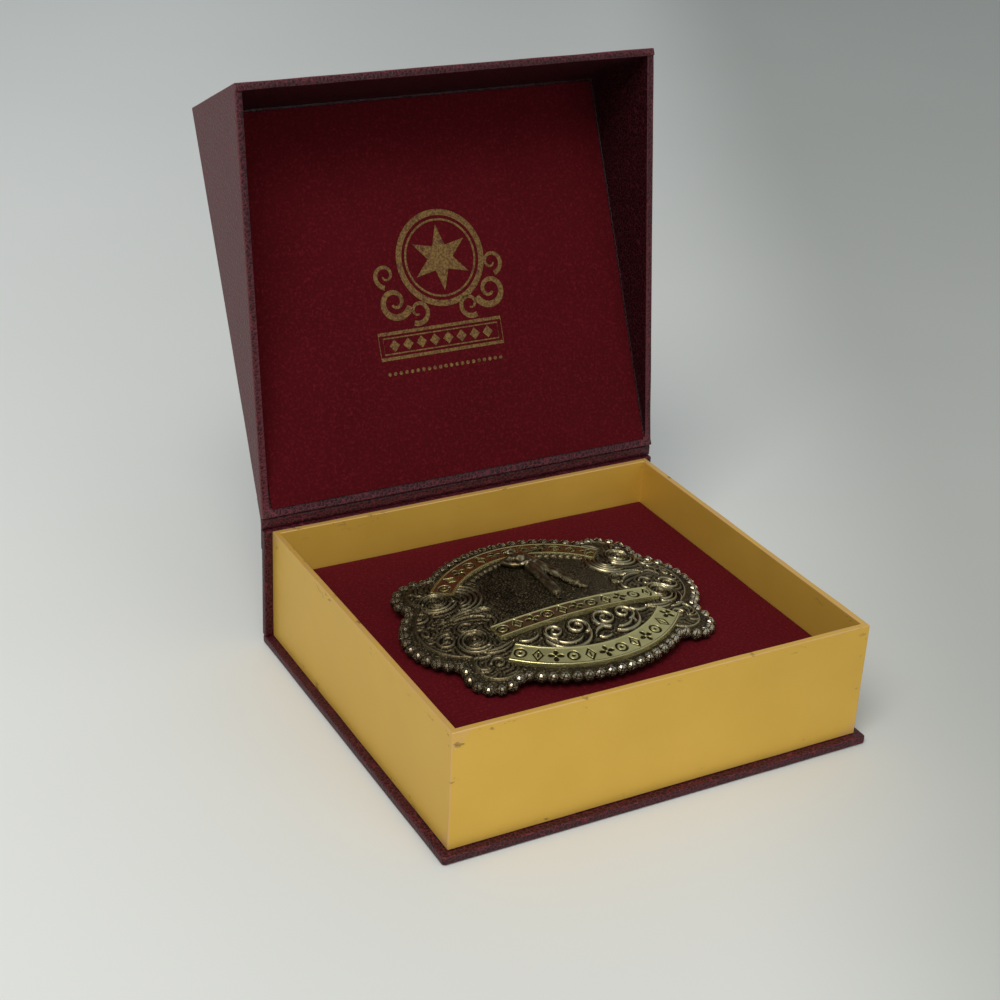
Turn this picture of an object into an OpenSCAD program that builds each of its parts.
// Western trophy buckle lying in its hinged presentation box.
// Frame: X along the front of the box, Y to the back, Z up, in millimetres.
// The origin is the middle of the underside of the base board.
// Distances on the buckle's face are measured in its own flat pattern, seen from above.

/* [Tray] */
// Width of the tray over its side walls
tray_w = 140; // [130:1:170]
// Depth of the tray from front to back
tray_d = 126.3; // [118:1:150]
// Height of the tray above the base board
tray_h = 38.4; // [34:1:60]
// Thickness of the tray's card walls
tray_wall = 2; // [1:0.1:3]
// Thickness of the tray's card floor
tray_floor = 1.6; // [1:0.1:3]

/* [Wrapped boards] */
// Thickness of the base board and of the lid's panel
board_t = 2.6; // [2:0.1:4]
// Thickness of the spine board behind the tray
spine_t = 2.6; // [2:0.1:4]
// Strip of the base board that shows outside the tray
base_lip = 2.7; // [2:0.1:8]
// Radius of the base board's corners
base_corner_r = 1.2; // [0.5:0.1:4]
// Thickness of the lid's side and front walls
lid_wall = 2.4; // [1.5:0.1:4]
// Clearance between the closed lid and the tray, on every side
lid_gap = 0.35; // [0.3:0.05:1]
// Clearance between the closed lid's front wall and the base board
lid_foot_gap = 0.8; // [0.4:0.1:3]
// Lean of the open lid, backwards from upright
lid_lean = 24.3; // [5:0.1:40]
// Distance from the hinge line at which the lid's side walls begin
wedge_start = 3; // [2.8:0.1:8]
// Thickness of the hinge cloth
cloth_t = 0.9; // [0.6:0.1:1.5]

/* [Linings] */
// Height of the cloth pad's top above the base board
pad_top = 23.7; // [20:0.5:25]
// Clearance of the pad from the tray
pad_gap = 0.3; // [0.1:0.05:1]
// Thickness of the cloth panel inside the lid
lining_t = 0.5; // [0.3:0.1:2]
// Border of bare board around that panel
lining_border = 0.9; // [0.5:0.1:4]
// Width of the bare strip between that panel and the hinge line
lining_foot = 3.4; // [2:0.1:8]

/* [Buckle face] */
// Width of the buckle between the centres of its end beads
face_w = 99.4; // [90:0.5:110]
// Depth of the buckle between the centres of its top and bottom beads
face_d = 75.4; // [68:0.5:84]
// Thickness of the plate
plate_t = 2; // [1.5:0.1:3]
// Radius of the dome to which the plate is curved
dome_r = 215; // [180:5:320]
// Diameter of a rim bead
bead_d = 3.2; // [2.6:0.1:3.6]
// Distance between neighbouring beads along the rim
bead_pitch = 3.5; // [3.2:0.1:5]
// Radius of the curve at each end of the buckle
end_bulge_r = 18.5; // [16:0.5:24]
// Radius of the curve along its top and its bottom
long_bulge_r = 45.9; // [42:0.5:60]
// Radius of each corner ear
ear_r = 8; // [6:0.5:10]
// Distance from the ears' centres to the buckle's upright centre line
ear_x = 34.2; // [31:0.2:36]
// Distance from the ears' centres to its level centre line
ear_y = 22.2; // [19:0.2:24]
// Width of the plain channel between the bead centres and the raised border
channel_w = 3.6; // [3:0.1:5]

/* [Relief] */
// Width of the raised border inside the channel
border_w = 0.9; // [0.6:0.1:1.5]
// Height of the raised border above the plate
border_h = 0.7; // [0.4:0.1:1.2]
// Height of the scrollwork above the plate
scroll_h = 1; // [0.6:0.1:1.6]
// Height of the ribbons above the plate
ribbon_h = 1.3; // [0.8:0.1:2]
// Width of the upper and the lower curved ribbon
arc_ribbon_w = 7; // [5:0.2:8]
// Width of the straight ribbon across the middle
bar_ribbon_w = 6.9; // [5:0.2:8]
// Height of the figure's limbs above the plate
limb_h = 2; // [1:0.1:3]
// Height of the figure's body and head above the plate
body_h = 2.8; // [1.5:0.1:4]

/* [Back fittings] */
// Width of the belt that the loop takes
belt_w = 38; // [30:1:44]
// Gap in the loop for the belt's thickness
belt_gap = 6.5; // [4.5:0.1:8]
// Thickness of the loop's strip
loop_t = 1.6; // [1.2:0.1:2.5]
// Length of the loop's strip along the belt
loop_len = 8; // [5:0.5:12]
// Diameter of the hook's post
hook_d = 4; // [3:0.1:5]
// Height of the hook's post and tip below the plate
hook_h = 6.5; // [5:0.1:8]
// Diameter of the hook's tip
hook_tip_d = 5.6; // [4.5:0.1:8]
// Clearance of a fitting from the back of the plate
fit_gap = 0.1; // [0.05:0.05:0.3]

/* [Place of the buckle] */
// Distance of its centre to the left of the box's centre line
buckle_left = 2.9; // [0:0.1:4]
// Distance of its centre in front of the tray's middle
buckle_front = 1.1; // [0:0.1:4]
// Turn of the buckle on the pad, anticlockwise
buckle_turn = 2.7; // [0:0.1:5]
// Lift of its far edge, where the belt loop holds it up
buckle_tilt = 2.6; // [0:0.1:5]
// Clearance of the lowest beads from the pad
seat_gap = 0.2; // [0.1:0.05:0.3]

/* [Hidden] */
$fn = 48;

// Colours of the finishes
leatherette = [0.35, 0.1, 0.16];
gold_paper = [0.78, 0.63, 0.3];
velvet = [0.36, 0.08, 0.12];
metal = [0.58, 0.55, 0.42];

// The box
touch = 0.1;
base_w = tray_w + 2 * base_lip;
base_d = base_lip + tray_d + touch + spine_t;
tray_front = base_lip - base_d / 2;
tray_back = tray_front + tray_d;
rim_z = board_t + touch + tray_h;
floor_z = board_t + touch + tray_floor;
spine_y = tray_back + touch;
lid_w = tray_w + 2 * (lid_gap + lid_wall);
lid_under_z = rim_z + lining_t + 2 * touch;
lid_top_z = lid_under_z + board_t;
hinge_r = cloth_t / 2;
hinge_y = spine_y + spine_t - hinge_r;
hinge_z = lid_top_z - hinge_r;
lid_front_y = tray_front - lid_gap - lid_wall;
lid_edge_y = hinge_y - hinge_r - lid_gap;
lid_foot_z = board_t + lid_foot_gap;

// The buckle's outline in polar form: three kinds of lobe, blended where they meet
half_w = face_w / 2;
half_d = face_d / 2;
lobe_blend = 30;
function lobe(centre, radius, a) =
    abs(centre * sin(a)) < radius && cos(a) > 0
        ? centre * cos(a) + sqrt(radius * radius - pow(centre * sin(a), 2))
        : 0.01;
function fold(a) = let (b = abs(((a + 180) % 360 + 360) % 360 - 180)) b > 90 ? 180 - b : b;
function rim_r(a) =
    let (q = fold(a),
         ends = lobe(half_w - end_bulge_r, end_bulge_r, q),
         sides = lobe(half_d - long_bulge_r, long_bulge_r, 90 - q),
         ear = lobe(norm([ear_x, ear_y]), ear_r, q - atan2(ear_y, ear_x)))
    pow(pow(ends, lobe_blend) + pow(min(sides, half_w), lobe_blend) + pow(ear, lobe_blend), 1 / lobe_blend);
function rim_pt(a, inset = 0) = (rim_r(a) - inset) * [cos(a), sin(a)];
outline_step = 2.5;
module outline(inset) {
    polygon([for (a = [0 : outline_step : 360 - outline_step]) rim_pt(a, inset)]);
}

// Beads stand at equal steps along the rim, as many in each quarter, and half a step off the centre lines
rim_steps = 360;
rim_path = [for (i = [0 : rim_steps]) rim_pt(i * 360 / rim_steps)];
function run(pts, i = 0, sum = 0) =
    i >= len(pts) - 1
        ? [[sum, i * 360 / rim_steps]]
        : concat([[sum, i * 360 / rim_steps]], run(pts, i + 1, sum + norm(pts[i + 1] - pts[i])));
rim_table = run(rim_path);
rim_len = rim_table[rim_steps][0];
bead_n = 4 * round(rim_len / bead_pitch / 4);
bead_angles = [for (i = [0 : bead_n - 1]) lookup((i + 0.5) * rim_len / bead_n, rim_table)];

// The dome: a point of the flat pattern lies this far below the middle of the plate's top
function dome_drop(p) = dome_r - sqrt(dome_r * dome_r - p[0] * p[0] - p[1] * p[1]);
dome_facets = 360;
bead_drop = plate_t / 2;

// The buckle lies tilted, and is lowered until its lowest bead rests on the pad
function tilted_z(p) = p[1] * sin(buckle_tilt) - (dome_drop(p) + bead_drop) * cos(buckle_tilt);
lowest_bead = min([for (a = bead_angles) tilted_z(rim_pt(a))]);
buckle_z = board_t + touch + pad_top + seat_gap + bead_d / 2 - lowest_bead;
buckle_x = -buckle_left;
buckle_y = tray_front + tray_d / 2 - buckle_front;
module on_pad() {
    translate([buckle_x, buckle_y, buckle_z])
        rotate([buckle_tilt, 0, buckle_turn])
            children();
}

// The fittings behind the plate stand on its back, one at each end
loop_x = half_w - end_bulge_r;
loop_w = belt_w + 2 * loop_t;
loop_depth = belt_gap + 2 * loop_t;
function back_z(p) = -dome_drop(p) - plate_t - fit_gap;
loop_top_z = back_z([loop_x + loop_len / 2, loop_w / 2]);
hook_top_z = back_z([loop_x + hook_d / 2, hook_d / 2]);

// The pad's pocket takes them with room to spare
pocket_room = 3;
pocket_w = 2 * (loop_x + loop_len / 2 + pocket_room);
pocket_d = loop_w + 2 * pocket_room;
pocket_depth = board_t + touch + pad_top - (buckle_z + loop_top_z - loop_depth) + pocket_room;

// A wrapped board under everything, with its corners slightly rounded
module base_board() {
    color(leatherette)
        linear_extrude(board_t)
            rounded_rect(base_w, base_d, base_corner_r);
}
module rounded_rect(w, d, r) {
    square([w - 2 * r, d], center = true);
    square([w, d - 2 * r], center = true);
    for (x = [-1, 1], y = [-1, 1])
        translate([x * (w / 2 - r), y * (d / 2 - r)])
            circle(r);
}

// A second board upright behind the tray
module spine_board() {
    color(leatherette)
        translate([-base_w / 2, spine_y, board_t + touch])
            cube([base_w, spine_t, tray_h]);
}

// The cloth between spine and lid, with a rolled top edge on the hinge line
module hinge_cloth() {
    foot = rim_z + touch;
    color(leatherette) {
        translate([-base_w / 2, hinge_y - hinge_r, foot])
            cube([base_w, cloth_t, hinge_z - foot]);
        translate([-base_w / 2, hinge_y, hinge_z])
            rotate([0, 90, 0])
                cylinder(h = base_w, r = hinge_r);
    }
}

// The open card tray
module tray() {
    color(gold_paper)
        translate([-tray_w / 2, tray_front, board_t + touch])
            difference() {
                cube([tray_w, tray_d, tray_h]);
                translate([tray_wall, tray_wall, tray_floor])
                    cube([tray_w - 2 * tray_wall, tray_d - 2 * tray_wall, tray_h]);
            }
}

// The padded block in the tray, with a pocket for the fittings on the buckle's back
module pad() {
    inset = tray_wall + pad_gap;
    base = floor_z + touch;
    color(velvet)
        difference() {
            translate([inset - tray_w / 2, tray_front + inset, base])
                cube([tray_w - 2 * inset, tray_d - 2 * inset, board_t + touch + pad_top - base]);
            translate([buckle_x, buckle_y, board_t + touch + pad_top])
                rotate([0, 0, buckle_turn])
                    cube([pocket_w, pocket_d, 2 * pocket_depth], center = true);
        }
}

// The lid is drawn closed and swung open about the hinge line
module swung_open() {
    translate([0, hinge_y, hinge_z])
        rotate([-90 - lid_lean, 0, 0])
            translate([0, -hinge_y, -hinge_z])
                children();
}

// Panel, front wall and two side walls that taper to nothing towards the hinge
module lid_shell() {
    color(leatherette)
        swung_open() {
            translate([-lid_w / 2, lid_front_y, lid_under_z])
                cube([lid_w, lid_edge_y - lid_front_y, board_t]);
            translate([-lid_w / 2, lid_front_y, lid_foot_z])
                cube([lid_w, lid_wall, lid_top_z - lid_foot_z]);
            for (x = [-lid_w / 2, lid_w / 2 - lid_wall])
                translate([x, 0, 0])
                    rotate([90, 0, 90])
                        linear_extrude(lid_wall)
                            polygon([[lid_front_y, lid_foot_z], [hinge_y - wedge_start, lid_under_z],
                                     [hinge_y - wedge_start, lid_top_z], [lid_front_y, lid_top_z]]);
        }
}

// The cloth-covered card glued inside the lid
module lid_lining() {
    w = lid_w - 2 * (lid_wall + lining_border);
    front = lid_front_y + lid_wall + lining_border;
    color(velvet)
        swung_open()
            translate([-w / 2, front, lid_under_z - touch - lining_t])
                cube([w, hinge_y - lining_foot - front, lining_t]);
}

// Relief is cut from shells that follow the dome
module dome_shell(above, below) {
    translate([0, 0, -dome_r])
        difference() {
            sphere(r = dome_r + above, $fn = dome_facets);
            sphere(r = dome_r - below, $fn = dome_facets);
        }
}
column_h = 24;
module raised(h) {
    intersection() {
        translate([0, 0, -column_h / 2])
            linear_extrude(column_h)
                children();
        dome_shell(h, plate_t / 2);
    }
}

// A curled band that narrows towards its eye
curl_step = 24;
function polar(at, r, a) = at + r * [cos(a), sin(a)];
module curl(at, r, eye, from, sweep, w) {
    n = ceil(abs(sweep) / curl_step);
    polygon(concat(
        [for (i = [0 : n]) polar(at, r + (eye - r) * i / n, from + sweep * i / n)],
        [for (i = [n : -1 : 0]) polar(at, r - w + (eye - r + w / 2) * i / n, from + sweep * i / n)]));
}

// A leaf drawn out along an arc, widest in the middle and pointed at both ends
module leaf(at, r, from, sweep, w) {
    n = ceil(abs(sweep) / curl_step);
    polygon(concat(
        [for (i = [0 : n]) polar(at, r + w / 2 * sin(180 * i / n), from + sweep * i / n)],
        [for (i = [n - 1 : -1 : 1]) polar(at, r - w / 2 * sin(180 * i / n), from + sweep * i / n)]));
}

// Places on the face are shares of half its width and half its depth, radii and widths of half its width
function place(row) = [row[0] * half_w, row[1] * half_d];

// Curls of the left end, mirrored on the right
// columns: x, y, outer radius, eye radius, start angle, sweep, band width
end_curls = [
    [-0.685,  0.41, 0.125, 0.030,   60,  540, 0.030],
    [-0.805,  0.27, 0.064, 0.018,  -90,  430, 0.022],
    [-0.800, -0.12, 0.068, 0.018,   45,  430, 0.022],
    [-0.490,  0.01, 0.084, 0.050,  140, -200, 0.026],
    [-0.675, -0.24, 0.108, 0.026,  215, -540, 0.028]
];
// Leaves of the left end, mirrored on the right
// columns: x, y, arc radius, start angle, sweep, width
end_leaves = [
    [-0.66,  0.30, 0.225,   60, -150, 0.050],
    [-0.66,  0.30, 0.165,   50, -120, 0.036],
    [-0.60, -0.20, 0.200,  112,  -50, 0.036],
    [-0.58, -0.24, 0.175,  100,  -50, 0.036],
    [-0.92,  0.06, 0.080,  -60,  120, 0.034],
    [-0.58,  0.66, 0.160,  215,  -60, 0.042],
    [-0.70, -0.25, 0.150,  250,   70, 0.026],
    [-0.67, -0.55, 0.085,  100,  150, 0.032]
];
// Curls between the two lower ribbons
mid_curls = [
    [-0.215, -0.445, 0.056, 0.015, 200, -430, 0.022],
    [-0.070, -0.470, 0.066, 0.018, -20,  430, 0.024],
    [ 0.145, -0.460, 0.076, 0.020, 200, -430, 0.024],
    [ 0.280, -0.425, 0.060, 0.016, -20,  430, 0.024]
];
// Leaves between the two lower ribbons
mid_leaves = [
    [-0.14, -0.47, 0.145,  180,  170, 0.034],
    [ 0.21, -0.44, 0.150,    0, -140, 0.034],
    [ 0.07, -0.72, 0.100,  150, -100, 0.028],
    [ 0.44, -0.35, 0.080,  205,  120, 0.028],
    [-0.38, -0.36, 0.080,  215,  120, 0.028]
];
module scrolls(curls, leaves) {
    for (row = curls)
        curl(place(row), row[2] * half_w, row[3] * half_w, row[4], row[5], row[6] * half_w);
    for (row = leaves)
        leaf(place(row), row[2] * half_w, row[3], row[4], row[5] * half_w);
}
module scrollwork() {
    for (side = [0, 1])
        mirror([side, 0])
            scrolls(end_curls, end_leaves);
    scrolls(mid_curls, mid_leaves);
}

// A raised border follows the rim inside its plain channel
module border() {
    difference() {
        outline(channel_w);
        outline(channel_w + border_w);
    }
}

// Two curved ribbons share one radius with the rim's channel, and a straight one crosses between them
ribbon_inset = channel_w + border_w + 0.2;
ribbon_out_r = 42.3;
ribbon_half_angle = 45;
module ribbon_arc() {
    inner_r = ribbon_out_r - arc_ribbon_w;
    translate([0, ribbon_out_r - half_d + ribbon_inset])
        intersection() {
            difference() {
                circle(ribbon_out_r, $fn = 144);
                circle(inner_r, $fn = 144);
            }
            polygon([[0, 0], polar([0, 0], 2 * half_w, -90 - ribbon_half_angle),
                     [0, -2 * half_w], polar([0, 0], 2 * half_w, -90 + ribbon_half_angle)]);
        }
}
bar_y = -0.25 * half_d;
bar_half_len = 0.58 * half_w;
module ribbons() {
    ribbon_arc();
    mirror([0, 1])
        ribbon_arc();
    translate([-bar_half_len, bar_y - bar_ribbon_w / 2])
        square([2 * bar_half_len, bar_ribbon_w]);
}

// Scallops edge the arched field under the upper ribbon
scallop_r = 1.1;
scallop_step = 3.6;
module scallops() {
    row_r = ribbon_out_r - arc_ribbon_w - scallop_r * 0.6;
    for (a = [-9 : 9])
        if (abs(a) > 1)
            translate([0, half_d - ribbon_inset - ribbon_out_r])
                translate(polar([0, 0], row_r, 90 + a * scallop_step))
                    circle(scallop_r, $fn = 16);
}

// The golfer on the field: limbs and club, then body and head, in the same shares
module shares(pts) {
    polygon([for (p = pts) place(p)]);
}
module limbs() {
    shares([[-0.012, 0.47], [0.064, 0.47], [0.052, 0.24], [0.040, 0], [0.036, -0.06], [-0.004, -0.07],
            [-0.024, 0], [-0.012, 0.22]]);
    shares([[0.052, 0.47], [0.114, 0.46], [0.138, 0.27], [0.200, 0.06], [0.232, 0.03], [0.220, -0.01],
            [0.146, 0.02], [0.104, 0.20], [0.060, 0.30]]);
    shares([[-0.03, 0.66], [-0.09, 0.66], [-0.11, 0.58], [-0.05, 0.49], [-0.02, 0.52], [-0.07, 0.59]]);
    shares([[0.03, 0.70], [0.05, 0.735], [0.27, 0.755], [0.28, 0.70], [0.24, 0.715]]);
}
module body() {
    shares([[-0.03, 0.46], [0.112, 0.45], [0.106, 0.59], [0.076, 0.68], [0.05, 0.72], [-0.02, 0.71],
            [-0.05, 0.65], [-0.055, 0.58]]);
    translate(place([0.012, 0.74]))
        circle(0.042 * half_w, $fn = 24);
}

module buckle_plate() {
    intersection() {
        translate([0, 0, -column_h / 2])
            linear_extrude(column_h)
                outline(-bead_d / 8);
        dome_shell(0, plate_t);
    }
}
module beads() {
    for (a = bead_angles)
        let (p = rim_pt(a))
            translate([p[0], p[1], -dome_drop(p) - bead_drop])
                rotate([0, 0, a])
                    sphere(d = bead_d, $fn = 24);
}

// Plate, bead rim and raised ornament are soldered into one piece of metal
module buckle_face() {
    color(metal)
        on_pad() {
            buckle_plate();
            beads();
            raised(border_h)
                border();
            raised(scroll_h) {
                scrollwork();
                scallops();
            }
            raised(ribbon_h)
                ribbons();
            raised(limb_h)
                limbs();
            raised(body_h)
                body();
        }
}

// The belt's end is sewn round this loop behind the left end
module belt_loop() {
    color(metal)
        on_pad()
            translate([-loop_x - loop_len / 2, 0, loop_top_z - loop_depth / 2])
                rotate([90, 0, 90])
                    linear_extrude(loop_len)
                        difference() {
                            square([loop_w, loop_depth], center = true);
                            square([belt_w, belt_gap], center = true);
                        }
}

// The belt's other end is held by this stud behind the right end
module belt_hook() {
    tip_h = hook_h / 4;
    color(metal)
        on_pad()
            translate([loop_x, 0, hook_top_z - hook_h]) {
                cylinder(h = hook_h, d = hook_d);
                cylinder(h = tip_h, d = hook_tip_d);
            }
}

base_board();
spine_board();
tray();
pad();
hinge_cloth();
buckle_face();
belt_loop();
belt_hook();
lid_shell();
lid_lining();
